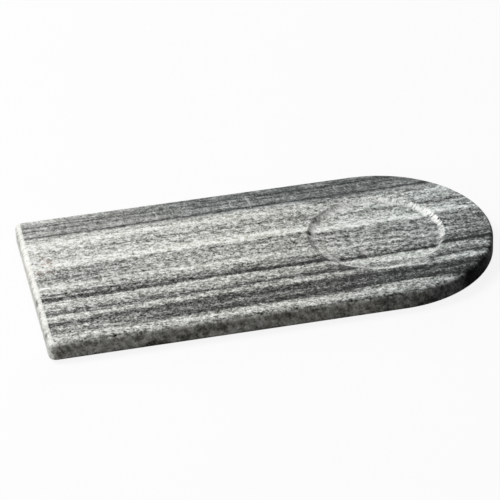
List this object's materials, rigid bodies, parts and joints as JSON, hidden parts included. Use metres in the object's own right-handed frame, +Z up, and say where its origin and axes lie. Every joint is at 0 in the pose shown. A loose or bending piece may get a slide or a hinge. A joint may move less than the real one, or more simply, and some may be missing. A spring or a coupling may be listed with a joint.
{
  "type": "banded stone slab",
  "caption": "Flat stone slab, square at one end and full-round at the other, with a shallow coved round seat in the top face and low rubber feet underneath.",
  "frame": {"origin": "on the surface that the feet stand on, under the middle of the slab's length and width", "axes": "+X along the slab towards its round end, +Y across the slab, +Z up out of the top face"},
  "size_m": [0.3, 0.15, 0.0142],
  "materials": {
    "stone": "honed grey banded gneiss, pale and dark bands along the slab, matte",
    "foot_rubber": "milky grey soft moulded rubber, satin",
    "adhesive": "thin off-white double-sided adhesive film"
  },
  "bodies": {
    "root": {"stone_slab": "stone", "foot_square_end_front": "foot_rubber", "foot_square_end_back": "foot_rubber", "foot_round_end_front": "foot_rubber", "foot_round_end_back": "foot_rubber", "adhesive_square_end_front": "adhesive", "adhesive_square_end_back": "adhesive", "adhesive_round_end_front": "adhesive", "adhesive_round_end_back": "adhesive"}
  },
  "joints": []
}
